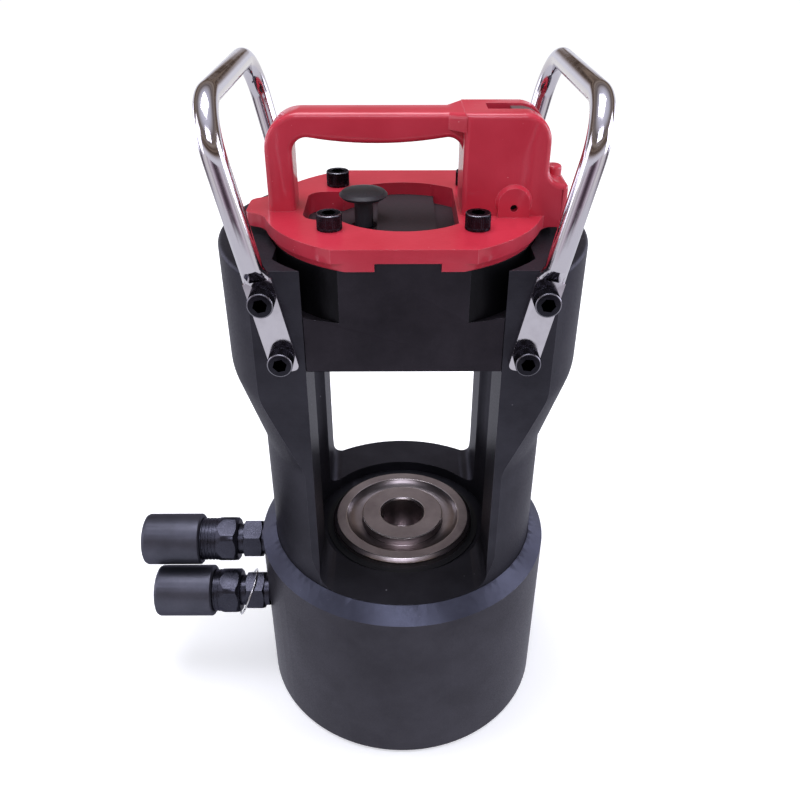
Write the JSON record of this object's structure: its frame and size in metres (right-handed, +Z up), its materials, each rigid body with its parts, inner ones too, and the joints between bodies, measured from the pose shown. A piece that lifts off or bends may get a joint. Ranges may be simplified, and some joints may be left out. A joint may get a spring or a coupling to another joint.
{
  "type": "hydraulic crimping head",
  "caption": "Double-acting hydraulic crimping head: screwed-in fork on a barrel with ram, bayonet closing head, cast carry handle with lock lever, side handles and quick couplers",
  "frame": {"origin": "centre of the barrel's flat bottom face, on the ram's axis", "axes": "+Z up along the ram's axis to the closing head, -Y the open front of the die window, -X the side of the two couplers"},
  "size_m": [0.2928, 0.2, 0.437],
  "materials": {
    "barrel_steel": "satin black oxide, turned",
    "fork_steel": "satin black oxide, milled flats",
    "head_steel": "satin black oxide, milled top",
    "ram_steel": "turned steel, brownish grey",
    "cast_red": "glossy red enamel on a light-alloy casting",
    "screw_steel": "black oxide screws",
    "handle_chrome": "bright chrome plate",
    "coupler_steel": "blue-grey phosphated steel",
    "lever_steel": "dark steel",
    "knob_plastic": "matt dark grey moulding",
    "pin_steel": "ground steel",
    "spring_steel": "spring wire",
    "seal_rubber": "black elastomer",
    "guide_plastic": "bronze-filled bearing strip",
    "wire_steel": "bright wire"
  },
  "bodies": {
    "frame": {"barrel": "barrel_steel", "fork": "fork_steel", "rod_seal": "seal_rubber", "wiper": "seal_rubber", "barrel_seal": "seal_rubber", "fork_grub_screw": "screw_steel", "left_side_handle": "handle_chrome", "right_side_handle": "handle_chrome", "lower_wire_ring": "wire_steel", "upper_nipple": "coupler_steel", "upper_coupler": "coupler_steel", "upper_poppet": "coupler_steel", "lower_nipple": "coupler_steel", "lower_coupler": "coupler_steel", "lower_poppet": "coupler_steel", "left_handle_screw_1": "screw_steel", "left_handle_screw_2": "screw_steel", "left_handle_screw_3": "screw_steel", "left_handle_screw_4": "screw_steel", "right_handle_screw_1": "screw_steel", "right_handle_screw_2": "screw_steel", "right_handle_screw_3": "screw_steel", "right_handle_screw_4": "screw_steel"},
    "ram": {"ram": "ram_steel", "piston_seal": "seal_rubber", "guide_ring": "guide_plastic"},
    "head": {"closing_head": "head_steel", "carry_handle": "cast_red", "lever_pin": "pin_steel", "die_pin_bush": "screw_steel", "lock_bolt_spring": "spring_steel", "die_pin_spring": "spring_steel", "carry_screw_1": "screw_steel", "carry_screw_2": "screw_steel", "carry_screw_3": "screw_steel", "carry_screw_4": "screw_steel"},
    "lock_bolt": {"lock_bolt": "pin_steel"},
    "thumb_lever": {"thumb_lever": "lever_steel"},
    "die_pin": {"die_pin": "pin_steel", "die_pin_knob": "knob_plastic"},
    "upper_cap": {"upper_dust_cap": "coupler_steel"},
    "lower_cap": {"lower_dust_cap": "coupler_steel"}
  },
  "joints": [
    {"name": "ram_slide", "type": "slide", "parent": "frame", "child": "ram", "axis": [0, 0, 1], "range_m": [0, 0.03]},
    {"name": "head_turn", "type": "hinge", "parent": "frame", "child": "head", "pos_m": [0, 0, 0.3], "axis": [0, 0, 1], "range_deg": [0, 90]},
    {"name": "thumb_lever_swing", "type": "hinge", "parent": "head", "child": "thumb_lever", "pos_m": [0.0602, 0, 0.3662], "axis": [0, 1, 0], "range_deg": [0, 12]},
    {"name": "lock_bolt_slide", "type": "slide", "parent": "head", "child": "lock_bolt", "axis": [0, 0, 1], "range_m": [-0.00487, 0], "deforming": ["lock_bolt_spring"]},
    {"name": "die_pin_pull", "type": "slide", "parent": "head", "child": "die_pin", "axis": [0, 0, 1], "range_m": [0, 0.01], "stiffness_N_per_m": 900, "springref_m": -0.006, "deforming": ["die_pin_spring"]},
    {"name": "upper_cap_off", "type": "slide", "parent": "frame", "child": "upper_cap", "axis": [-1, 0, 0], "range_m": [0, 0.045]},
    {"name": "lower_cap_off", "type": "slide", "parent": "frame", "child": "lower_cap", "axis": [-1, 0, 0], "range_m": [0, 0.045]}
  ],
  "couplings": [
    {"joint": "lock_bolt_slide", "follows": "thumb_lever_swing", "m_per_rad": -0.023237}
  ]
}
